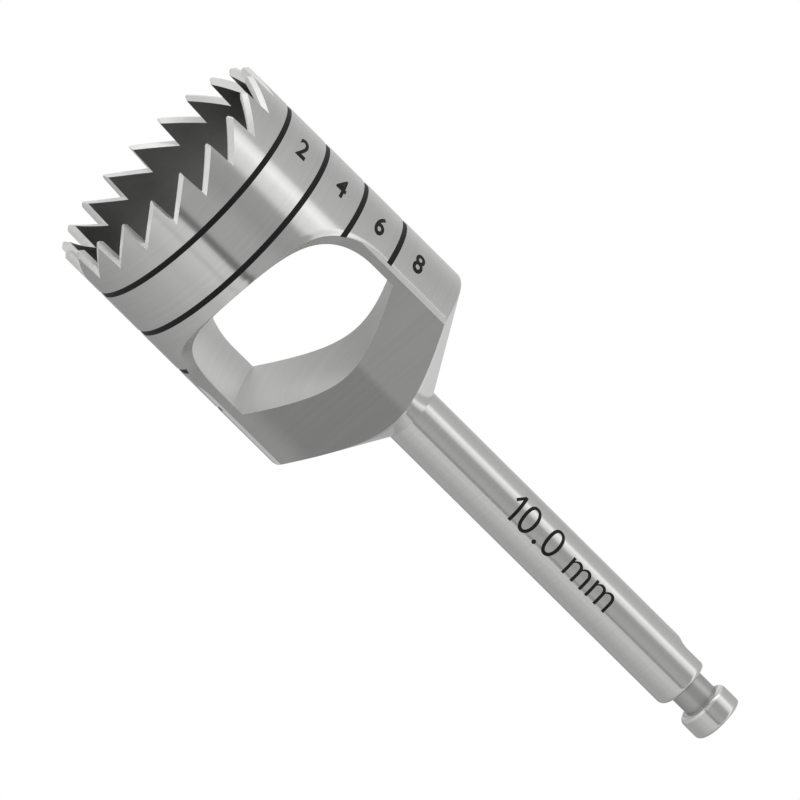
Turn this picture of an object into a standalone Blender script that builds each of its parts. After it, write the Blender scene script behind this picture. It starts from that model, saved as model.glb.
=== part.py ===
"""Trephine bur with a 10 mm crown and a latch shank: one piece of stainless steel, turned and then milled.

Frame: the bur stands on its teeth. The origin is the centre of the circle of tooth tips, +Z runs up the
shank, and the two milled flats face -Y and +Y. Run with: blender --background --python part.py
"""
import math

import bmesh
import bpy
from mathutils import Matrix, Vector

MM = 0.001

# Crown: a cup, bored from the mouth with a drill that leaves a conical floor
CROWN_DIAMETER = 10.0 * MM
CROWN_WALL = 0.4 * MM
CROWN_LENGTH = 11.55 * MM
CROWN_EDGE_RADIUS = 0.15 * MM
BORE_FLOOR_STEEL = 2.39 * MM
DRILL_POINT_ANGLE = math.radians(112.0)
SHOULDER_ANGLE = math.radians(114.5)

# Saw teeth round the mouth, cutting faces towards the clockwise side seen from the shank
TOOTH_COUNT = 20
TOOTH_DEPTH = 1.27 * MM
TOOTH_LAND = 0.08 * MM
CUTTING_FACE_LEAN = math.radians(3.5)
FIRST_TOOTH_ANGLE = math.radians(12.7)

# Depth rings, shallow bands round the crown
RING_COUNT = 4
FIRST_RING_HEIGHT = 2.15 * MM
RING_PITCH = 2.1 * MM
RING_WIDTH = 0.23 * MM
RING_DEPTH = 0.03 * MM

# Two flats that open the bore as windows. A side mill comes down over the shoulder and leaves its own
# radius at the mouth end, and the long edges of each flat are broken.
FLAT_DISTANCE = 2.36 * MM
FLAT_START = 4.85 * MM
FLAT_MILL_RADIUS = 3.27 * MM
FLAT_EDGE_BREAK = 0.06 * MM

# Latch shank: round shank, groove, end disc and drive flat
OVERALL_LENGTH = 31.05 * MM
SHANK_DIAMETER = 2.35 * MM
SHANK_END_RADIUS = 0.27 * MM
GROOVE_DIAMETER = 1.47 * MM
GROOVE_WIDTH = 0.94 * MM
DISC_DIAMETER = 2.24 * MM
DISC_THICKNESS = 1.05 * MM
DISC_EDGE_RADIUS = 0.2 * MM
DRIVE_FLAT_DISTANCE = 0.7 * MM
DRIVE_FLAT_LENGTH = 3.5 * MM
DRIVE_FLAT_RUNOUT_RADIUS = 0.5 * MM
DRIVE_FLAT_ANGLE = math.radians(134.5)

# How finely round shapes are divided, how far a cutter reaches past what it cuts, and what shows as an edge
FACETS_PER_TOOTH = 4
CORNER_FACETS = 4
MILL_FACETS = 14
CUTTER_MARGIN = 0.5 * MM
MERGE_DISTANCE = 0.00001 * MM
SHARP_EDGE_ANGLE = math.radians(25.0)

CROWN_RADIUS = CROWN_DIAMETER / 2
BORE_RADIUS = CROWN_RADIUS - CROWN_WALL
SHANK_RADIUS = SHANK_DIAMETER / 2
TOOTH_PITCH = math.tau / TOOTH_COUNT
BORE_DEPTH = CROWN_LENGTH - BORE_FLOOR_STEEL
BORE_APEX = BORE_DEPTH + BORE_RADIUS / math.tan(DRILL_POINT_ANGLE / 2)
SHANK_START = CROWN_LENGTH + (CROWN_RADIUS - SHANK_RADIUS) / math.tan(SHOULDER_ANGLE / 2)
MILL_ENTRY = min((CROWN_RADIUS - FLAT_DISTANCE) / FLAT_MILL_RADIUS, 1)
MILL_AXIS_HEIGHT = FLAT_START + FLAT_MILL_RADIUS * math.sqrt(1 - (1 - MILL_ENTRY) ** 2)
DISC_BOTTOM = OVERALL_LENGTH - DISC_THICKNESS
SHANK_END = DISC_BOTTOM - GROOVE_WIDTH


def new_collection(name):
    collection = bpy.data.collections.new(name)
    bpy.context.scene.collection.children.link(collection)
    return collection


def rounded(corners, facets):
    """Points of an outline through (x, y, radius) corners, each corner turned into an arc of its radius."""
    points = []
    for index, (x, y, radius) in enumerate(corners):
        corner = Vector((x, y))
        if radius == 0:
            points.append(corner)
            continue
        before = (Vector(corners[index - 1][:2]) - corner).normalized()
        after = (Vector(corners[(index + 1) % len(corners)][:2]) - corner).normalized()
        half_angle = before.angle(after) / 2
        centre = corner + (before + after).normalized() * radius / math.sin(half_angle)
        start = corner + before * radius / math.tan(half_angle) - centre
        turn = start.angle_signed(corner + after * radius / math.tan(half_angle) - centre)
        for step in range(facets + 1):
            angle = -turn * step / facets
            points.append(centre + Matrix.Rotation(angle, 2) @ start)
    return points


def turned_solid(name, outline, steps, collection):
    """Turn an outline in the XZ plane round the Z axis. The outline runs down its outer side."""
    mesh = bpy.data.meshes.new(name)
    bm = bmesh.new()
    verts = [bm.verts.new((point.x, 0, point.y)) for point in outline]
    for first, second in zip(verts, verts[1:]):
        bm.edges.new((first, second))
    bm.to_mesh(mesh)
    bm.free()
    solid = bpy.data.objects.new(name, mesh)
    collection.objects.link(solid)
    screw = solid.modifiers.new("Turn", "SCREW")
    screw.axis = "Z"
    screw.steps = steps
    screw.render_steps = steps
    screw.use_merge_vertices = True
    screw.merge_threshold = MERGE_DISTANCE
    return solid


def prism(name, outline, thickness, collection):
    """A closed bar whose section is an outline in the XY plane, and whose length runs along +Z."""
    mesh = bpy.data.meshes.new(name)
    bm = bmesh.new()
    base = bm.faces.new([bm.verts.new((point.x, point.y, 0)) for point in outline])
    end = bmesh.ops.extrude_face_region(bm, geom=[base])["geom"]
    end_verts = [item for item in end if isinstance(item, bmesh.types.BMVert)]
    bmesh.ops.translate(bm, verts=end_verts, vec=(0, 0, thickness))
    bmesh.ops.recalc_face_normals(bm, faces=bm.faces)
    bm.to_mesh(mesh)
    bm.free()
    bar = bpy.data.objects.new(name, mesh)
    collection.objects.link(bar)
    bar.hide_render = True
    bar.display_type = "WIRE"
    return bar


def cut(solid, name, collection):
    boolean = solid.modifiers.new(name, "BOOLEAN")
    boolean.operation = "DIFFERENCE"
    boolean.solver = "EXACT"
    boolean.operand_type = "COLLECTION"
    boolean.collection = collection


def bur_outline():
    """Half section of the turned blank, from the shank's end down the outside and back up the bore."""
    corners = [
        (0, OVERALL_LENGTH, 0),
        (DISC_DIAMETER / 2, OVERALL_LENGTH, DISC_EDGE_RADIUS),
        (DISC_DIAMETER / 2, DISC_BOTTOM, DISC_EDGE_RADIUS),
        (GROOVE_DIAMETER / 2, DISC_BOTTOM, 0),
        (GROOVE_DIAMETER / 2, SHANK_END, 0),
        (SHANK_RADIUS, SHANK_END, SHANK_END_RADIUS),
        (SHANK_RADIUS, SHANK_START, 0),
        (CROWN_RADIUS, CROWN_LENGTH, CROWN_EDGE_RADIUS),
    ]
    ring_floor = CROWN_RADIUS - RING_DEPTH
    for ring in reversed(range(RING_COUNT)):
        middle = FIRST_RING_HEIGHT + ring * RING_PITCH
        top = middle + RING_WIDTH / 2
        bottom = middle - RING_WIDTH / 2
        corners += [(CROWN_RADIUS, top, 0), (ring_floor, top, 0), (ring_floor, bottom, 0), (CROWN_RADIUS, bottom, 0)]
    corners += [
        (CROWN_RADIUS, 0, 0),
        (BORE_RADIUS, 0, 0),
        (BORE_RADIUS, BORE_DEPTH, 0),
        (0, BORE_APEX, 0),
    ]
    return rounded(corners, CORNER_FACETS)


def tooth_gullet(index, collection):
    """One gullet, milled straight in along the radius that its tooth's cutting face lies on."""
    face_run = math.tan(CUTTING_FACE_LEAN)
    land_angle = TOOTH_LAND / CROWN_RADIUS
    back_end = CROWN_RADIUS * math.sin(TOOTH_PITCH - land_angle)
    back_run = (back_end - TOOTH_DEPTH * face_run) / TOOTH_DEPTH
    section = [
        Vector((TOOTH_DEPTH * face_run, TOOTH_DEPTH)),
        Vector((-CUTTER_MARGIN * face_run, -CUTTER_MARGIN)),
        Vector((back_end + CUTTER_MARGIN * back_run, -CUTTER_MARGIN)),
    ]
    inner_reach = BORE_RADIUS * math.cos(TOOTH_PITCH) - CUTTER_MARGIN
    length = CROWN_RADIUS + CUTTER_MARGIN - inner_reach
    gullet = prism(f"tooth_gullet_{index:02d}", section, length, collection)
    # The section's X runs clockwise round the crown, its Y up the axis, and its length outwards
    angle = FIRST_TOOTH_ANGLE + index * TOOTH_PITCH
    outwards = Vector((math.cos(angle), math.sin(angle), 0))
    clockwise = Vector((math.sin(angle), -math.cos(angle), 0))
    upwards = Vector((0, 0, 1))
    placed = Matrix((clockwise, upwards, outwards)).transposed().to_4x4()
    placed.translation = outwards * inner_reach
    gullet.matrix_world = placed


def side_milled(name, distance, direction, collection):
    """A flat at a distance from the axis, facing a direction round it, with the mill's radius at its lower end."""
    outside = CROWN_RADIUS + CUTTER_MARGIN
    top = SHANK_START + CUTTER_MARGIN
    leaves_at = min((outside - distance) / FLAT_MILL_RADIUS, 1)
    sweep = math.acos(1 - leaves_at)
    outline = [Vector((outside, top)), Vector((distance, top))]
    for step in range(MILL_FACETS + 1):
        angle = sweep * step / MILL_FACETS
        out = distance + FLAT_MILL_RADIUS * (1 - math.cos(angle))
        outline.append(Vector((out, MILL_AXIS_HEIGHT - FLAT_MILL_RADIUS * math.sin(angle))))
    outline.append(Vector((outside, outline[-1].y)))
    flat = prism(name, outline, 2 * outside, collection)
    # The outline stands in the XZ plane, centred on the axis, before it turns to its direction
    stand_up = Matrix.Translation((0, outside, 0)) @ Matrix.Rotation(math.pi / 2, 4, "X")
    flat.matrix_world = Matrix.Rotation(direction, 4, "Z") @ stand_up


def milled_flat(name, direction, collection):
    """One flat and its two broken edges, each a narrow flat halfway between the flat and the crown's side."""
    edge_turn = math.acos(FLAT_DISTANCE / CROWN_RADIUS) / 2
    edge_distance = CROWN_RADIUS * math.cos(edge_turn) - FLAT_EDGE_BREAK
    side_milled(name, FLAT_DISTANCE, direction, collection)
    side_milled(f"{name}_left_edge", edge_distance, direction - edge_turn, collection)
    side_milled(f"{name}_right_edge", edge_distance, direction + edge_turn, collection)


def drive_flat(collection):
    """The latch flat: cut from the shank's end, and run out on the radius of the mill."""
    side = SHANK_RADIUS + CUTTER_MARGIN
    bottom = OVERALL_LENGTH - DRIVE_FLAT_LENGTH
    top = OVERALL_LENGTH + CUTTER_MARGIN
    corners = [
        (DRIVE_FLAT_DISTANCE, top, 0),
        (DRIVE_FLAT_DISTANCE, bottom, DRIVE_FLAT_RUNOUT_RADIUS),
        (side, bottom, 0),
        (side, top, 0),
    ]
    flat = prism("drive_flat", rounded(corners, CORNER_FACETS), 2 * side, collection)
    stand_up = Matrix.Rotation(math.pi / 2, 4, "X")
    turned = Matrix.Rotation(DRIVE_FLAT_ANGLE, 4, "Z")
    flat.matrix_world = turned @ Matrix.Translation((0, side, 0)) @ stand_up


def stainless_steel():
    material = bpy.data.materials.new("stainless_steel")
    material.use_nodes = True
    shader = material.node_tree.nodes["Principled BSDF"]
    shader.inputs["Base Color"].default_value = (0.6, 0.6, 0.59, 1)
    shader.inputs["Metallic"].default_value = 1
    shader.inputs["Roughness"].default_value = 0.32
    return material


def apply_cuts(solid):
    """Keep the cut mesh itself, round where it is round and sharp at its machined edges."""
    depsgraph = bpy.context.evaluated_depsgraph_get()
    mesh = bpy.data.meshes.new_from_object(solid.evaluated_get(depsgraph))
    solid.modifiers.clear()
    solid.data = mesh
    mesh.shade_smooth()
    mesh.set_sharp_from_angle(angle=SHARP_EDGE_ANGLE)


for old in list(bpy.data.objects):
    bpy.data.objects.remove(old, do_unlink=True)

parts = new_collection("trephine")
gullets = new_collection("tooth_gullets")
flats = new_collection("milled_flats")

bur = turned_solid("trephine_bur", bur_outline(), FACETS_PER_TOOTH * TOOTH_COUNT, parts)
bur.data.materials.append(stainless_steel())

for tooth in range(TOOTH_COUNT):
    tooth_gullet(tooth, gullets)
milled_flat("front_flat", -math.pi / 2, flats)
milled_flat("rear_flat", math.pi / 2, flats)
drive_flat(flats)

cut(bur, "Teeth", gullets)
cut(bur, "Flats", flats)
apply_cuts(bur)
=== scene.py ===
"""Trephine bur with a 10 mm crown: the finish of the steel, the laser marks and the studio.

The bur stands on its teeth at the origin, its shank along +Z. Lengths are in metres.
"""
import math

import bpy
from mathutils import Matrix, Vector


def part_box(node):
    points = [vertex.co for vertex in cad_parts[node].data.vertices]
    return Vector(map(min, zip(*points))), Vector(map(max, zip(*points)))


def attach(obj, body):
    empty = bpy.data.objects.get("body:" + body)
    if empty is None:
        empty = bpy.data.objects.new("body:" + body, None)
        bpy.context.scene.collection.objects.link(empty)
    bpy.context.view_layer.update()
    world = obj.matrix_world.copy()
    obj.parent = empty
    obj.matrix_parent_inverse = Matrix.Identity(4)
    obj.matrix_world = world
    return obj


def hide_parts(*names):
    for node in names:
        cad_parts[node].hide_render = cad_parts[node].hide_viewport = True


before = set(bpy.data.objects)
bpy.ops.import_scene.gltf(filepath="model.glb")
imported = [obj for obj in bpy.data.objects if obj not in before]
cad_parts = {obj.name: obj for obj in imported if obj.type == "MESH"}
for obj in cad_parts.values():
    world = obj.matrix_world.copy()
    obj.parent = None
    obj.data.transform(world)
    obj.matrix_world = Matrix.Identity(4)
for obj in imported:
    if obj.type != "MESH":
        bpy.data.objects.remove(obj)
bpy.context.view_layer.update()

# Ground steel of the teeth.
# Gullets and tooth edges are ground, so they are finer, lighter and more matt than the turned steel.
MM = 0.001
LINE_LENGTH = 9 * MM
LINE_DETAIL = 3.0
PATCH_SIZE = 2.2 * MM
PATCH_DETAIL = 4.0
SHEEN_DRIFT = 0.1
GREY_DRIFT = 0.02
GREY_DRIFT_RANGE = (0.35, 0.65)
BLUE_SHARE = 0.99


def steel(name, grey, roughness, pitch, depth):
    """Bare machined steel: tool lines that run round the axis, under a sheen that is a little uneven."""
    material = bpy.data.materials.new(name)
    material.use_nodes = True
    nodes = material.node_tree.nodes
    links = material.node_tree.links
    shader = nodes["Principled BSDF"]
    shader.inputs["Metallic"].default_value = 1.0
    place = nodes.new("ShaderNodeTexCoord")

    # Tool lines change quickly along the axis and slowly round it
    along = nodes.new("ShaderNodeMapping")
    along.inputs["Scale"].default_value = (1 / LINE_LENGTH, 1 / LINE_LENGTH, 1 / pitch)
    lines = nodes.new("ShaderNodeTexNoise")
    lines.inputs["Scale"].default_value = 1.0
    lines.inputs["Detail"].default_value = LINE_DETAIL
    bump = nodes.new("ShaderNodeBump")
    bump.inputs["Strength"].default_value = 1.0
    bump.inputs["Distance"].default_value = depth
    links.new(place.outputs["Object"], along.inputs["Vector"])
    links.new(along.outputs["Vector"], lines.inputs["Vector"])
    links.new(lines.outputs["Fac"], bump.inputs["Height"])
    links.new(bump.outputs["Normal"], shader.inputs["Normal"])

    # The sheen and the grey drift by a few per cent over a couple of millimetres
    patches = nodes.new("ShaderNodeTexNoise")
    patches.inputs["Scale"].default_value = 1 / PATCH_SIZE
    patches.inputs["Detail"].default_value = PATCH_DETAIL
    links.new(place.outputs["Object"], patches.inputs["Vector"])
    sheen = nodes.new("ShaderNodeMapRange")
    sheen.inputs["To Min"].default_value = roughness * (1 - SHEEN_DRIFT)
    sheen.inputs["To Max"].default_value = roughness * (1 + SHEEN_DRIFT)
    links.new(patches.outputs["Fac"], sheen.inputs["Value"])
    links.new(sheen.outputs["Result"], shader.inputs["Roughness"])
    tone = nodes.new("ShaderNodeValToRGB")
    tones = (grey * (1 - GREY_DRIFT), grey * (1 + GREY_DRIFT))
    for stop, position, level in zip(tone.color_ramp.elements, GREY_DRIFT_RANGE, tones):
        stop.position = position
        stop.color = (level, level, level * BLUE_SHARE, 1)
    links.new(lines.outputs["Fac"], tone.inputs["Fac"])
    links.new(tone.outputs["Color"], shader.inputs["Base Color"])
    return material


ground_steel = steel("ground_steel", grey=0.97, roughness=0.42, pitch=0.10 * MM, depth=0.0006 * MM)

# Toothed ring.
# The mouth of the tube: twenty saw teeth, each ground from both sides to a narrow ridge along the wall.
# One tooth is shaped flat, from mid-slope to mid-slope, then the row of twenty is bent into a ring.
CROWN_RADIUS = 5.0 * MM
WALL = 0.4 * MM
TOOTH_COUNT = 20
TOOTH_PITCH = math.tau * CROWN_RADIUS / TOOTH_COUNT
RIDGE_DEPTH = 1.10 * MM
RIDGE_WIDTH = 0.08 * MM
GRIND_DEPTH = 0.19 * MM
GRIND_ASIDE = 0.02 * MM
TOOTH_LAND = 0.08 * MM
CUTTING_FACE_LEAN = math.radians(3.5)
FIRST_TOOTH_ANGLE = math.radians(12.7)
TOOTH_BAND_TOP = 1.8 * MM
COLUMNS_PER_TOOTH = 16
WELD = 0.0005 * MM
CUT_TOLERANCE = WELD / 5

ridge_root = -RIDGE_DEPTH * math.tan(CUTTING_FACE_LEAN)
slope_run = TOOTH_PITCH + ridge_root - TOOTH_LAND
mid_slope = TOOTH_LAND + slope_run / 2


def tooth_outline(root, tip, land_end):
    """Corners of a tooth from mid-slope to mid-slope, and of the tube above it."""
    rise = (root.y - land_end.y) / (root.x + TOOTH_PITCH - land_end.x)
    mid_height = land_end.y + (mid_slope - land_end.x) * rise
    return [
        Vector((mid_slope - TOOTH_PITCH, mid_height)),
        root,
        tip,
        land_end,
        Vector((mid_slope, mid_height)),
        Vector((mid_slope, TOOTH_BAND_TOP)),
        Vector((mid_slope - TOOTH_PITCH, TOOTH_BAND_TOP)),
    ]


def on_ground_slope(x):
    """Point of a tooth's long slope where it meets a face of the wall."""
    return Vector((x, GRIND_DEPTH + RIDGE_DEPTH * (x - TOOTH_LAND) / slope_run))


ridge = tooth_outline(Vector((ridge_root, RIDGE_DEPTH)), Vector((0, 0)), Vector((TOOTH_LAND, 0)))
at_face = tooth_outline(
    on_ground_slope(ridge_root + GRIND_ASIDE + TOOTH_PITCH) - Vector((TOOTH_PITCH, 0)),
    on_ground_slope(GRIND_ASIDE),
    on_ground_slope(TOOTH_LAND),
)


def deselect_all(obj):
    """Make an object the active one, with nothing selected in its mesh."""
    bpy.ops.object.select_all(action="DESELECT")
    obj.select_set(True)
    bpy.context.view_layer.objects.active = obj
    for part in (obj.data.vertices, obj.data.edges, obj.data.polygons):
        part.foreach_set("select", [False] * len(part))


def select_faces(obj, wanted):
    """Select the faces that pass a test."""
    deselect_all(obj)
    for face in obj.data.polygons:
        face.select = wanted(face)


def select_edges(obj, wanted):
    """Select the edges whose two ends both pass a test."""
    deselect_all(obj)
    points = obj.data.vertices
    for edge in obj.data.edges:
        edge.select = wanted(points[edge.vertices[0]].co) and wanted(points[edge.vertices[1]].co)


def in_edit_mode(kind, *steps):
    """Take some steps in edit mode, on what is selected of a kind."""
    bpy.ops.object.mode_set(mode="EDIT")
    bpy.ops.mesh.select_mode(type=kind)
    for step in steps:
        step()
    bpy.ops.object.mode_set(mode="OBJECT")


def cut_across(point, normal):
    """Cut the whole of the mesh in edit mode along a plane."""
    bpy.ops.mesh.select_all(action="SELECT")
    bpy.ops.mesh.bisect(plane_co=point, plane_no=normal, threshold=CUT_TOLERANCE)


def reshape_selected(obj, before, after, depth):
    """Move the selected corners of an outline to another outline, at a depth in the wall."""
    for point in obj.data.vertices:
        if point.select:
            here = Vector((point.co.x, point.co.z))
            nearest = min(range(len(before)), key=lambda index: (before[index] - here).length)
            point.co = (after[nearest].x, depth, after[nearest].y)


# A disc whose corners are moved onto the outline is drawn through the wall, face by face
bpy.ops.object.select_all(action="DESELECT")
bpy.ops.mesh.primitive_circle_add(vertices=len(at_face), radius=MM, fill_type="NGON")
bur = bpy.context.object
bur.name = "steel_bur"
for point, corner in zip(bur.data.vertices, at_face):
    point.co = (corner.x, 0, corner.y)
bur.data.polygons[0].select = True
ridge_outside = (WALL - RIDGE_WIDTH) / 2
ridge_inside = (WALL + RIDGE_WIDTH) / 2
wall_steps = (
    (at_face, ridge, ridge_outside),
    (ridge, ridge, ridge_inside),
    (ridge, at_face, WALL),
)
for before, after, depth in wall_steps:
    in_edit_mode("FACE", bpy.ops.mesh.extrude_region_move)
    reshape_selected(bur, before, after, depth)

# The tooth's two cut ends and its top are open, because the ring and the tube go on there
select_faces(
    bur,
    lambda face: abs(face.center.z - TOOTH_BAND_TOP) < WELD
    or abs(abs(face.center.x - mid_slope + TOOTH_PITCH / 2) - TOOTH_PITCH / 2) < WELD,
)
in_edit_mode("FACE", lambda: bpy.ops.mesh.delete(type="FACE"))
deselect_all(bur)
bpy.ops.object.mode_set(mode="EDIT")
bpy.ops.mesh.select_all(action="SELECT")
bpy.ops.mesh.normals_make_consistent(inside=False)
for column in range(1, COLUMNS_PER_TOOTH):
    cut_at = mid_slope - TOOTH_PITCH + column * TOOTH_PITCH / COLUMNS_PER_TOOTH
    cut_across((cut_at, 0, 0), (1, 0, 0))
bpy.ops.object.mode_set(mode="OBJECT")

row = bur.modifiers.new("Row of teeth", "ARRAY")
row.count = TOOTH_COUNT
row.use_relative_offset = False
row.use_constant_offset = True
row.constant_offset_displace = (TOOTH_PITCH, 0, 0)
row.use_merge_vertices = True
row.merge_threshold = WELD
bpy.ops.object.modifier_apply(modifier=row.name)
ring = bur.modifiers.new("Ring", "SIMPLE_DEFORM")
ring.deform_method = "BEND"
ring.deform_axis = "Z"
ring.angle = math.tau
bpy.ops.object.modifier_apply(modifier=ring.name)
bur.data.transform(Matrix.Translation((0, -CROWN_RADIUS, 0)))
bur.data.transform(Matrix.Rotation(FIRST_TOOTH_ANGLE + math.pi / 2, 4, "Z"))
deselect_all(bur)
in_edit_mode(
    "VERT",
    lambda: bpy.ops.mesh.select_all(action="SELECT"),
    lambda: bpy.ops.mesh.remove_doubles(threshold=WELD),
    lambda: bpy.ops.mesh.normals_make_consistent(inside=False),
)

# Turned crown, shoulder and shank.
# One bar of stainless steel, drawn up from the toothed ring loop by loop as it was turned: four shallow
# rings for the depth marks, a cone shoulder, the shank, and the latch end with its groove and disc.
CROWN_LENGTH = 11.55 * MM
CROWN_EDGE_RADIUS = 0.15 * MM
SHOULDER_ANGLE = math.radians(114.5)
FIRST_RING_HEIGHT = 2.15 * MM
RING_PITCH = 2.1 * MM
RING_WIDTH = 0.23 * MM
RING_DEPTH = 0.03 * MM
RING_COUNT = 4
SHANK_RADIUS = 1.175 * MM
SHANK_END_RADIUS = 0.27 * MM
GROOVE_RADIUS = 0.735 * MM
GROOVE_WIDTH = 0.94 * MM
DISC_RADIUS = 1.12 * MM
DISC_THICKNESS = 1.05 * MM
DISC_EDGE_RADIUS = 0.2 * MM
CORNER_STEPS = 8

overall_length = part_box("trephine_bur")[1].z
shank_start = CROWN_LENGTH + (CROWN_RADIUS - SHANK_RADIUS) / math.tan(SHOULDER_ANGLE / 2)
disc_bottom = overall_length - DISC_THICKNESS
shank_end = disc_bottom - GROOVE_WIDTH


def rounded(before, corner, after, radius):
    """Points of the arc that rounds a corner between two neighbours of an outline."""
    back = (before - corner).normalized()
    on = (after - corner).normalized()
    half_angle = back.angle(on) / 2
    centre = corner + (back + on).normalized() * radius / math.sin(half_angle)
    first = corner + back * radius / math.tan(half_angle) - centre
    last = corner + on * radius / math.tan(half_angle) - centre
    turn = first.angle_signed(last)
    return [
        centre + Matrix.Rotation(-turn * step / CORNER_STEPS, 2) @ first
        for step in range(CORNER_STEPS + 1)
    ]


outside = []
for ring_number in range(RING_COUNT):
    ring_bottom = FIRST_RING_HEIGHT + ring_number * RING_PITCH - RING_WIDTH / 2
    ring_top = ring_bottom + RING_WIDTH
    for radius, height in (
        (CROWN_RADIUS, ring_bottom),
        (CROWN_RADIUS - RING_DEPTH, ring_bottom),
        (CROWN_RADIUS - RING_DEPTH, ring_top),
        (CROWN_RADIUS, ring_top),
    ):
        outside.append(Vector((radius, height)))
shoulder_foot = Vector((CROWN_RADIUS, CROWN_LENGTH))
shoulder_top = Vector((SHANK_RADIUS, shank_start))
shank_edge = Vector((SHANK_RADIUS, shank_end))
groove_foot = Vector((GROOVE_RADIUS, shank_end))
groove_top = Vector((GROOVE_RADIUS, disc_bottom))
disc_foot = Vector((DISC_RADIUS, disc_bottom))
disc_top = Vector((DISC_RADIUS, overall_length))
end_face = Vector((SHANK_RADIUS / 2, overall_length))
outside += rounded(outside[-1], shoulder_foot, shoulder_top, CROWN_EDGE_RADIUS)
outside += [shoulder_top]
outside += rounded(shoulder_top, shank_edge, groove_foot, SHANK_END_RADIUS)
outside += [groove_foot, groove_top]
outside += rounded(groove_top, disc_foot, disc_top, DISC_EDGE_RADIUS)
outside += rounded(disc_foot, disc_top, end_face, DISC_EDGE_RADIUS)
outside += [end_face]


def draw_up(start, outline, closing_height):
    """Draw the selected loop up through the points of an outline, and close it on the axis."""
    here = start
    for point in outline:
        wider = point.x / here.x
        bpy.ops.mesh.extrude_edges_move(TRANSFORM_OT_translate={"value": (0, 0, point.y - here.y)})
        bpy.ops.transform.resize(value=(wider, wider, 1), center_override=(0, 0, point.y))
        here = point
    bpy.ops.mesh.extrude_edges_move(TRANSFORM_OT_translate={"value": (0, 0, closing_height - here.y)})
    bpy.ops.mesh.merge(type="CENTER")


mid_wall = CROWN_RADIUS - WALL / 2
select_edges(bur, lambda co: abs(co.z - TOOTH_BAND_TOP) < WELD and co.xy.length > mid_wall)
in_edit_mode("EDGE", lambda: draw_up(Vector((CROWN_RADIUS, TOOTH_BAND_TOP)), outside, overall_length))

# Bore.
# Drilled from the mouth to a conical floor, as a drill leaves it.
BORE_DEPTH = 9.16 * MM
DRILL_POINT_ANGLE = math.radians(112.0)
FLOOR_LOOPS = (0.75, 0.5, 0.25, 0.05)

bore_radius = CROWN_RADIUS - WALL
bore_rise = 1 / math.tan(DRILL_POINT_ANGLE / 2)
bore = [Vector((bore_radius, BORE_DEPTH))]
for share in FLOOR_LOOPS:
    bore.append(Vector((bore_radius * share, BORE_DEPTH + bore_radius * (1 - share) * bore_rise)))
apex = Vector((0, 0, BORE_DEPTH + bore_radius * bore_rise))
select_edges(bur, lambda co: abs(co.z - TOOTH_BAND_TOP) < WELD and co.xy.length < mid_wall)
in_edit_mode("EDGE", lambda: draw_up(Vector((bore_radius, TOOTH_BAND_TOP)), bore, apex.z))
deselect_all(bur)
in_edit_mode(
    "VERT",
    lambda: bpy.ops.mesh.select_all(action="SELECT"),
    lambda: bpy.ops.mesh.normals_make_consistent(inside=False),
)

# Steels of the bar.
# The outside is turned and polished satin, the bore and the latch groove keep a duller turned finish, and
# the depth rings are burnt black by a laser.
BURN_GRAIN = 0.08 * MM

turned_steel = steel("turned_steel", grey=0.74, roughness=0.12, pitch=0.12 * MM, depth=0.00015 * MM)
bored_steel = steel("bored_steel", grey=0.90, roughness=0.30, pitch=0.10 * MM, depth=0.0004 * MM)
floor_steel = steel("bore_floor_steel", grey=0.785, roughness=0.55, pitch=0.14 * MM, depth=0.0006 * MM)
shank_steel = steel("shank_steel", grey=0.765, roughness=0.20, pitch=0.12 * MM, depth=0.0002 * MM)
groove_steel = steel("latch_groove_steel", grey=0.55, roughness=0.40, pitch=0.05 * MM, depth=0.0014 * MM)


def tint_along(material, axis, start, end):
    """Paint light and shade into a steel along an axis, from one pair of a place and a share of its grey to
    another.
    """
    nodes = material.node_tree.nodes
    links = material.node_tree.links
    shader = nodes["Principled BSDF"]
    base = shader.inputs["Base Color"].links[0].from_socket
    place = nodes.new("ShaderNodeTexCoord")
    split = nodes.new("ShaderNodeSeparateXYZ")
    share = nodes.new("ShaderNodeMapRange")
    share.interpolation_type = "SMOOTHSTEP"
    for which, (at, share_of_grey) in (("Min", start), ("Max", end)):
        share.inputs[f"From {which}"].default_value = at
        share.inputs[f"To {which}"].default_value = share_of_grey
    painted_grey = nodes.new("ShaderNodeVectorMath")
    painted_grey.operation = "SCALE"
    links.new(place.outputs["Object"], split.inputs[0])
    links.new(split.outputs[axis], share.inputs["Value"])
    links.new(base, painted_grey.inputs[0])
    links.new(share.outputs["Result"], painted_grey.inputs["Scale"])
    links.new(painted_grey.outputs[0], shader.inputs["Base Color"])


# Painted shade: the bore is much darker behind the teeth than at the windows
tint_along(bored_steel, "Z", (3.2 * MM, 0.38), (5.6 * MM, 1.0))
# Painted light: the bore is a little darker towards +Y
tint_along(bored_steel, "Y", (0.5 * MM, 1.10), (2.4 * MM, 0.82))
# Painted reflection: the shank is a little brighter towards +X
tint_along(shank_steel, "X", (0.6 * MM, 1.0), (0.9 * MM, 1.18))
# Painted light: the cone of the shoulder is brighter than the crown
tint_along(turned_steel, "Z", (CROWN_LENGTH - 0.05 * MM, 1.0), (CROWN_LENGTH + 0.15 * MM, 1.22))


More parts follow.
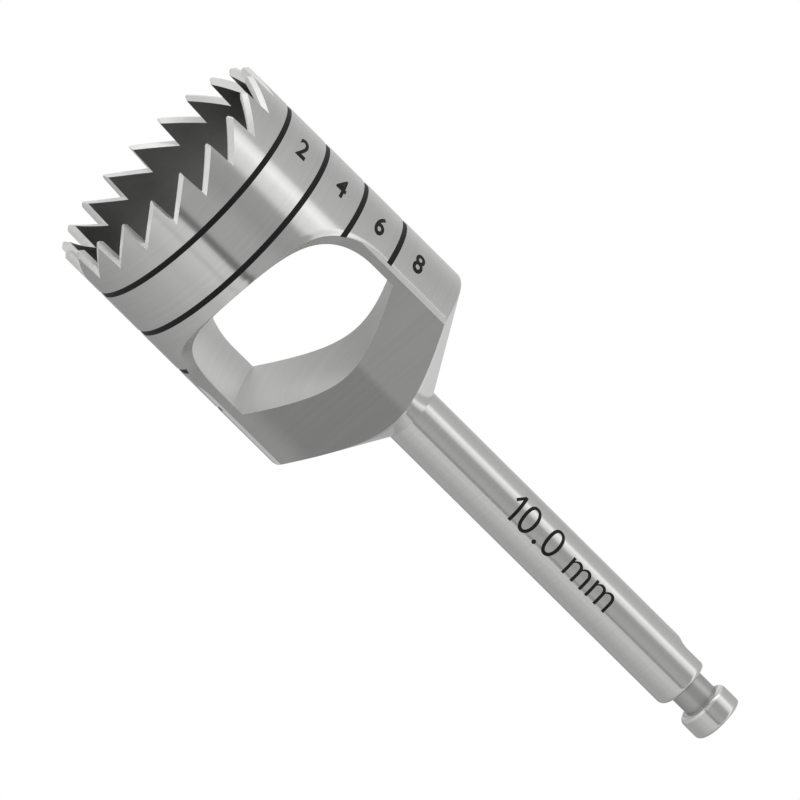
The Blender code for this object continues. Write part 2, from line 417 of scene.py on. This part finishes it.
def laser_black():
    """Oxide that a laser leaves in steel: nearly black, matt, and faintly uneven."""
    material = bpy.data.materials.new("laser_black")
    material.use_nodes = True
    nodes = material.node_tree.nodes
    links = material.node_tree.links
    shader = nodes["Principled BSDF"]
    shader.inputs["Metallic"].default_value = 0.0
    shader.inputs["Roughness"].default_value = 0.55
    shader.inputs["Specular IOR Level"].default_value = 0.2
    place = nodes.new("ShaderNodeTexCoord")
    grain = nodes.new("ShaderNodeTexNoise")
    grain.inputs["Scale"].default_value = 1 / BURN_GRAIN
    tone = nodes.new("ShaderNodeValToRGB")
    tone.color_ramp.elements[0].color = (0.009, 0.009, 0.009, 1)
    tone.color_ramp.elements[1].color = (0.017, 0.017, 0.017, 1)
    links.new(place.outputs["Object"], grain.inputs["Vector"])
    links.new(grain.outputs["Fac"], tone.inputs["Fac"])
    links.new(tone.outputs["Color"], shader.inputs["Base Color"])
    return material


black_mark = laser_black()
top_ring_height = FIRST_RING_HEIGHT + (RING_COUNT - 1) * RING_PITCH
finishes = [turned_steel, ground_steel, bored_steel, floor_steel, shank_steel, groove_steel, black_mark]
for finish in finishes:
    bur.data.materials.append(finish)

# How far a face's normal points along the radius or the axis tells the wall from the cut faces
ALONG_RADIUS = 0.99
OFF_UPRIGHT = 0.05
NEARLY_LEVEL = 0.9


def finish_of(face):
    """Which finish a face has, by its place on the bar."""
    radius = face.center.xy.length
    height = face.center.z
    sideways = abs(face.normal.xy.normalized().dot(face.center.xy.normalized())) if radius > WELD else 0
    upwards = abs(face.normal.z)
    if height < TOOTH_BAND_TOP and (sideways < ALONG_RADIUS or upwards > OFF_UPRIGHT):
        return ground_steel
    if height < BORE_DEPTH and radius < mid_wall:
        return bored_steel
    if height < apex.z and radius < bore_radius and face.normal.z < 0:
        return floor_steel
    if shank_end - WELD < height < disc_bottom + WELD:
        return groove_steel
    below_top_ring = height < top_ring_height + RING_WIDTH
    if below_top_ring and radius < CROWN_RADIUS - RING_DEPTH / 2 and upwards < NEARLY_LEVEL:
        return black_mark
    return shank_steel if height > shank_start else turned_steel


for face in bur.data.polygons:
    face.material_index = finishes.index(finish_of(face))

# Milled flats.
# A side mill comes down over the shoulder on two sides, opens the bore as windows and leaves its own
# radius at their foot. The long edges are broken, and a third flat on the latch end takes the drive.
FLAT_DISTANCE = 2.36 * MM
FLAT_START = 4.85 * MM
MILL_RADIUS = 3.27 * MM
EDGE_BREAK = 0.06 * MM
DRIVE_FLAT_DISTANCE = 0.7 * MM
DRIVE_FLAT_LENGTH = 3.5 * MM
DRIVE_MILL_RADIUS = 0.5 * MM
DRIVE_FLAT_ANGLE = math.radians(134.5)
CLEARANCE = 0.6 * MM
MILL_SEGMENTS = 48
RIM_WIDTH = 0.25 * MM
RIM_DROP = 0.023 * MM
SHARP_EDGE_ANGLE = math.radians(20)

milled_steel = steel("milled_steel", grey=0.33, roughness=0.36, pitch=0.16 * MM, depth=0.0003 * MM)
# Painted reflections: the flats are brighter beyond their middle towards -X, at their +X edge, and where
# the mill's radius runs out towards the teeth
tint_along(milled_steel, "X", (-0.92 * MM, 1.3), (-0.5 * MM, 1.0))
tint_along(milled_steel, "X", (3.0 * MM, 1.0), (4.0 * MM, 1.30))
tint_along(milled_steel, "Z", (5.2 * MM, 1.8), (6.8 * MM, 1.0))
entry = (CROWN_RADIUS - FLAT_DISTANCE) / MILL_RADIUS
mill_axis_height = FLAT_START + MILL_RADIUS * math.sqrt(1 - (1 - entry) ** 2)
mill_axis_distance = FLAT_DISTANCE + MILL_RADIUS


def rub_rims(material):
    """Let a steel fall away softly beside the windows, where their edges are rubbed round with a stone."""
    nodes = material.node_tree.nodes
    links = material.node_tree.links
    shader = nodes["Principled BSDF"]
    tool_lines = shader.inputs["Normal"].links[0].from_socket
    place = nodes.new("ShaderNodeTexCoord")
    split = nodes.new("ShaderNodeSeparateXYZ")
    sideways = nodes.new("ShaderNodeMath")
    sideways.operation = "ABSOLUTE"
    in_front = nodes.new("ShaderNodeMath")
    in_front.operation = "SUBTRACT"
    in_front.inputs[0].default_value = mill_axis_distance
    below = nodes.new("ShaderNodeMath")
    below.operation = "SUBTRACT"
    below.use_clamp = True
    below.inputs[0].default_value = mill_axis_height
    from_mill_axis = nodes.new("ShaderNodeCombineXYZ")
    distance = nodes.new("ShaderNodeVectorMath")
    distance.operation = "LENGTH"
    rim = nodes.new("ShaderNodeMapRange")
    rim.interpolation_type = "SMOOTHSTEP"
    rim.inputs["From Min"].default_value = MILL_RADIUS
    rim.inputs["From Max"].default_value = MILL_RADIUS + RIM_WIDTH
    rounding = nodes.new("ShaderNodeBump")
    rounding.inputs["Strength"].default_value = 1.0
    rounding.inputs["Distance"].default_value = RIM_DROP
    links.new(place.outputs["Object"], split.inputs[0])
    links.new(split.outputs["Y"], sideways.inputs[0])
    links.new(sideways.outputs[0], in_front.inputs[1])
    links.new(split.outputs["Z"], below.inputs[1])
    links.new(in_front.outputs[0], from_mill_axis.inputs["X"])
    links.new(below.outputs[0], from_mill_axis.inputs["Y"])
    links.new(from_mill_axis.outputs[0], distance.inputs[0])
    links.new(distance.outputs["Value"], rim.inputs["Value"])
    links.new(rim.outputs["Result"], rounding.inputs["Height"])
    links.new(tool_lines, rounding.inputs["Normal"])
    links.new(rounding.outputs["Normal"], shader.inputs["Normal"])


rub_rims(turned_steel)


def mill(distance, direction, radius, bottom, top, finish):
    """Mill a flat at a distance from the axis, facing a direction round it, with a radius at its foot."""
    width = radius + CLEARANCE
    middle = (distance + width / 2, 0, (bottom + top) / 2)
    bpy.ops.object.select_all(action="DESELECT")
    bpy.ops.mesh.primitive_cube_add(size=1, location=middle)
    cutter = bpy.context.object
    cutter.scale = (width, 2 * (CROWN_RADIUS + CLEARANCE), top - bottom)
    bpy.ops.object.transform_apply(location=True, rotation=True, scale=True)
    select_edges(cutter, lambda co: abs(co.x - distance) < WELD and abs(co.z - bottom) < WELD)
    in_edit_mode(
        "EDGE",
        lambda: bpy.ops.mesh.bevel(offset=radius, segments=MILL_SEGMENTS, profile=0.5, affect="EDGES"),
    )
    cutter.data.transform(Matrix.Rotation(direction, 4, "Z"))
    cutter.data.materials.append(finish)
    flat = bur.modifiers.new("Flat", "BOOLEAN")
    flat.operation = "DIFFERENCE"
    flat.solver = "EXACT"
    flat.material_mode = "TRANSFER"
    flat.object = cutter
    deselect_all(bur)
    bpy.ops.object.modifier_apply(modifier=flat.name)
    bpy.data.objects.remove(cutter)


edge_turn = math.acos(FLAT_DISTANCE / CROWN_RADIUS) / 2
edge_distance = CROWN_RADIUS * math.cos(edge_turn) - EDGE_BREAK
mill_bottom = mill_axis_height - MILL_RADIUS
mill_top = shank_start + CLEARANCE
for side in (-math.pi / 2, math.pi / 2):
    mill(FLAT_DISTANCE, side, MILL_RADIUS, mill_bottom, mill_top, milled_steel)
    mill(edge_distance, side - edge_turn, MILL_RADIUS, mill_bottom, mill_top, ground_steel)
    mill(edge_distance, side + edge_turn, MILL_RADIUS, mill_bottom, mill_top, ground_steel)
drive_bottom = overall_length - DRIVE_FLAT_LENGTH
drive_top = overall_length + CLEARANCE
mill(DRIVE_FLAT_DISTANCE, DRIVE_FLAT_ANGLE, DRIVE_MILL_RADIUS, drive_bottom, drive_top, shank_steel)

deselect_all(bur)
in_edit_mode(
    "VERT",
    lambda: bpy.ops.mesh.select_all(action="SELECT"),
    lambda: bpy.ops.mesh.remove_doubles(threshold=CUT_TOLERANCE),
)
bur.select_set(True)
bpy.ops.object.shade_smooth_by_angle(angle=SHARP_EDGE_ANGLE)
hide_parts("trephine_bur")
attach(bur, "root")

# Depth figures.
# Plain figures beside the rings, the depth in millimetres, burnt flush into the crown by the same laser.
FIGURE_HEIGHT = 1.03 * MM
FIGURE_THICKNESS = 0.004 * MM
FIGURE_BOLDNESS = 0.036 * MM
FIGURE_WIDTH_SHARE = 0.62
FIGURE_DIRECTION = math.radians(-166.9)
DEPTH_STEP = 2
CAPITAL_SHARE = 0.65
CURVE_STEPS = 8
ROW_STEP = 0.045 * MM
ROWS_BELOW_LINE = 2
TALLEST_SHARE = 1.3


def flat_text(name, words, size, boldness, letter_spacing=()):
    """Thin letters that lie flat and stand on the X axis, with their middle at the origin."""
    bpy.ops.object.select_all(action="DESELECT")
    bpy.ops.object.text_add()
    text = bpy.context.object
    text.name = name
    text.data.body = words
    for letter, spacing in zip(text.data.body_format, letter_spacing):
        letter.kerning = spacing
    text.data.size = size / CAPITAL_SHARE
    text.data.align_x = "CENTER"
    text.data.offset = boldness
    text.data.resolution_u = CURVE_STEPS
    text.data.extrude = FIGURE_THICKNESS
    bpy.ops.object.convert(target="MESH")
    return bpy.context.object


def burn_round(text, size, width_share, radius, height, direction):
    """Cut flat letters into rows and bend them round a bar, so that they read along its axis."""
    deselect_all(text)
    bpy.ops.object.mode_set(mode="EDIT")
    bpy.ops.mesh.select_all(action="SELECT")
    bpy.ops.mesh.remove_doubles(threshold=CUT_TOLERANCE)
    for line in range(-ROWS_BELOW_LINE, math.ceil(TALLEST_SHARE * size / ROW_STEP)):
        cut_across((0, line * ROW_STEP, 0), (0, 1, 0))
    bpy.ops.object.mode_set(mode="OBJECT")
    for point in text.data.vertices:
        angle = direction - (point.co.y - size / 2) / radius
        out = radius + point.co.z
        point.co = (out * math.cos(angle), out * math.sin(angle), height + point.co.x * width_share)
    text.data.materials.append(black_mark)
    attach(text, "root")


for ring_number in range(RING_COUNT):
    depth = DEPTH_STEP * (ring_number + 1)
    figure_middle = FIRST_RING_HEIGHT + ring_number * RING_PITCH + RING_PITCH / 2
    figure = flat_text(f"depth_figure_{depth}", str(depth), FIGURE_HEIGHT, FIGURE_BOLDNESS)
    burn_round(figure, FIGURE_HEIGHT, FIGURE_WIDTH_SHARE, CROWN_RADIUS, figure_middle, FIGURE_DIRECTION)

# Size on the shank.
# The crown's diameter in plain figures, burnt round the shank by the same laser in a thin line. The font's
# own 1 is a bare stroke, so its flag is a small block that is joined on before the text is bent.
SHANK_TEXT_HEIGHT = 1.16 * MM
SHANK_TEXT_BOLDNESS = -0.012 * MM
SHANK_TEXT_WIDTH_SHARE = 0.92
SHANK_TEXT_MIDDLE = 21.8 * MM
SHANK_TEXT_DIRECTION = math.radians(-124.6)
LETTER_SPACING = (-10.0, 4.6, 1.5)
FLAG_LENGTH = 0.50 * MM
FLAG_WIDTH = 0.13 * MM
FLAG_THICKNESS = 1.9 * FIGURE_THICKNESS
FLAG_SLOPE = math.radians(48)

size_text = flat_text(
    "size_figures", "10.0 mm", SHANK_TEXT_HEIGHT, SHANK_TEXT_BOLDNESS, LETTER_SPACING
)
one_left = min(point.co.x for point in size_text.data.vertices)
one = [point.co for point in size_text.data.vertices if point.co.x < one_left + FLAG_WIDTH * 2]
one_top = max(corner.y for corner in one)
one_middle = (one_left + max(corner.x for corner in one)) / 2
flag_along = Vector((math.cos(FLAG_SLOPE), math.sin(FLAG_SLOPE), 0))
flag_end = Vector((one_middle, one_top - FLAG_WIDTH / 2 * math.cos(FLAG_SLOPE), 0))
bpy.ops.object.select_all(action="DESELECT")
bpy.ops.mesh.primitive_cube_add(
    size=1, location=flag_end - flag_along * FLAG_LENGTH / 2, rotation=(0, 0, FLAG_SLOPE)
)
flag = bpy.context.object
flag.scale = (FLAG_LENGTH, FLAG_WIDTH, FLAG_THICKNESS)
bpy.ops.object.transform_apply(location=True, rotation=True, scale=True)
size_text.select_set(True)
bpy.context.view_layer.objects.active = size_text
bpy.ops.object.join()
burn_round(
    size_text,
    SHANK_TEXT_HEIGHT,
    SHANK_TEXT_WIDTH_SHARE,
    SHANK_RADIUS,
    SHANK_TEXT_MIDDLE,
    SHANK_TEXT_DIRECTION,
)

# Camera.
# A long lens that looks up a little at the mouth, rolled so that the shank points to the lower right.
CAMERA_AZIMUTH = math.radians(-19.2)
CAMERA_ELEVATION = math.radians(-13.6)
CAMERA_DISTANCE = 0.65
SHANK_SLANT = math.radians(44.72)
PHOTO_WIDTH = 30.33 * MM
SENSOR_WIDTH = 36.0
AIM_HEIGHT = 13.33 * MM
AIM_ASIDE = 0.078 * MM

back = Vector((
    math.sin(CAMERA_AZIMUTH) * math.cos(CAMERA_ELEVATION),
    -math.cos(CAMERA_AZIMUTH) * math.cos(CAMERA_ELEVATION),
    math.sin(CAMERA_ELEVATION),
))
axis_in_view = (Vector((0, 0, 1)) - back * back.z).normalized()
across_view = -Vector((math.cos(CAMERA_AZIMUTH), math.sin(CAMERA_AZIMUTH), 0))
right = axis_in_view * math.cos(SHANK_SLANT) + across_view * math.sin(SHANK_SLANT)
up = across_view * math.cos(SHANK_SLANT) - axis_in_view * math.sin(SHANK_SLANT)
camera = bpy.data.objects.new("camera", bpy.data.cameras.new("camera"))
bpy.context.scene.collection.objects.link(camera)
camera.data.sensor_width = SENSOR_WIDTH
camera.data.lens = SENSOR_WIDTH * CAMERA_DISTANCE / PHOTO_WIDTH
camera_place = Matrix((right, up, back)).transposed().to_4x4()
camera_place.translation = Vector((0, 0, AIM_HEIGHT)) + across_view * AIM_ASIDE + back * CAMERA_DISTANCE
camera.matrix_world = camera_place
bpy.context.scene.camera = camera

# Floor.
# A pale sheet under the bur. It shows from above only, because the camera looks up from below it.
FLOOR_SIZE = 0.6
bpy.ops.object.select_all(action="DESELECT")
bpy.ops.mesh.primitive_plane_add(size=FLOOR_SIZE)
floor = bpy.context.object
floor.name = "pale_floor"
paper = bpy.data.materials.new("pale_paper")
paper.use_nodes = True
paper_nodes = paper.node_tree.nodes
paper_shader = paper_nodes["Principled BSDF"]
paper_shader.inputs["Base Color"].default_value = (0.85, 0.85, 0.85, 1)
paper_shader.inputs["Roughness"].default_value = 0.9
which_side = paper_nodes.new("ShaderNodeNewGeometry")
see_through = paper_nodes.new("ShaderNodeBsdfTransparent")
one_sided = paper_nodes.new("ShaderNodeMixShader")
paper.node_tree.links.new(which_side.outputs["Backfacing"], one_sided.inputs[0])
paper.node_tree.links.new(paper_shader.outputs[0], one_sided.inputs[1])
paper.node_tree.links.new(see_through.outputs[0], one_sided.inputs[2])
paper.node_tree.links.new(one_sided.outputs[0], paper_nodes["Material Output"].inputs[0])
floor.data.materials.append(paper)
floor.visible_diffuse = False
floor.visible_glossy = False
floor.visible_shadow = False

# Studio light.
# A white tent round the bur, with a bright strip on one side, a dark edge beside the camera and a paler
# lower half that fills the mouth. Angles run round the bur from the camera, towards its upper right.
# Each stop is an angle in degrees and a brightness.
TENT = (
    (-180, 0.48),
    (-160, 0.32),
    (-134, 0.37),
    (-103, 0.43),
    (-81, 0.48),
    (-67, 0.54),
    (-55, 0.55),
    (-42, 0.64),
    (-36, 0.68),
    (-33, 0.52),
    (-30, 0.68),
    (-21, 0.70),
    (-18.5, 0.16),
    (-14, 0.18),
    (-11.5, 0.44),
    (8, 0.44),
    (24, 0.37),
    (43, 0.40),
    (49, 0.80),
    (60, 0.94),
    (66, 1.18),
    (73, 0.99),
    (77, 0.57),
    (95, 0.54),
    (115, 0.50),
    (130, 0.51),
    (144, 0.56),
    (165, 0.62),
    (180, 0.56),
)
TENT_BY_HEIGHT = (
    (-90, 0.8),
    (-65, 1.1),
    (-35, 1.5),
    (-12, 1.25),
    (5, 1.0),
    (40, 1.0),
    (90, 1.2),
)

world = bpy.data.worlds.new("studio")
bpy.context.scene.world = world
world.use_nodes = True
sky = world.node_tree.nodes
wires = world.node_tree.links
direction = sky.new("ShaderNodeTexCoord")
from_camera = sky.new("ShaderNodeMapping")
from_camera.vector_type = "POINT"
# Turned so that the view's own direction lies along +X, and mirrored so that angles grow to the upper right
from_camera.inputs["Rotation"].default_value = (0, 0, math.pi / 2 - CAMERA_AZIMUTH)
around = sky.new("ShaderNodeTexGradient")
around.gradient_type = "RADIAL"
wires.new(direction.outputs["Generated"], from_camera.inputs["Vector"])
wires.new(from_camera.outputs["Vector"], around.inputs["Vector"])


def brightness_ramp(stops, value):
    """A curve of brightness through (angle, brightness) stops, as the colours of a ramp."""
    lowest = stops[0][0]
    highest = stops[-1][0]
    ramp = sky.new("ShaderNodeValToRGB")
    elements = ramp.color_ramp.elements
    while len(elements) < len(stops):
        elements.new(1.0)
    for element, (angle, bright) in zip(elements, stops):
        element.position = (angle - lowest) / (highest - lowest)
        element.color = (bright, bright, bright, 1)
    wires.new(value, ramp.inputs["Fac"])
    return ramp.outputs["Color"]


turned_over = sky.new("ShaderNodeMath")
turned_over.operation = "SUBTRACT"
turned_over.inputs[0].default_value = 1.0
wires.new(around.outputs["Fac"], turned_over.inputs[1])
round_tent = brightness_ramp(TENT, turned_over.outputs[0])

split = sky.new("ShaderNodeSeparateXYZ")
wires.new(direction.outputs["Generated"], split.inputs[0])
height_angle = sky.new("ShaderNodeMath")
height_angle.operation = "ARCSINE"
wires.new(split.outputs["Z"], height_angle.inputs[0])
height_share = sky.new("ShaderNodeMapRange")
height_share.inputs["From Min"].default_value = -math.pi / 2
height_share.inputs["From Max"].default_value = math.pi / 2
wires.new(height_angle.outputs[0], height_share.inputs["Value"])
up_tent = brightness_ramp(TENT_BY_HEIGHT, height_share.outputs["Result"])

both = sky.new("ShaderNodeMix")
both.data_type = "RGBA"
both.blend_type = "MULTIPLY"
both.inputs["Factor"].default_value = 1.0
wires.new(round_tent, both.inputs["A"])
wires.new(up_tent, both.inputs["B"])
tent_light = sky["Background"]
wires.new(both.outputs["Result"], tent_light.inputs["Color"])
white_card = sky.new("ShaderNodeBackground")
white_card.inputs["Color"].default_value = (1, 1, 1, 1)
seen = sky.new("ShaderNodeLightPath")
choose = sky.new("ShaderNodeMixShader")
wires.new(seen.outputs["Is Camera Ray"], choose.inputs[0])
wires.new(tent_light.outputs[0], choose.inputs[1])
wires.new(white_card.outputs[0], choose.inputs[2])
wires.new(choose.outputs[0], sky["World Output"].inputs[0])
bpy.context.scene.view_settings.view_transform = "Standard"
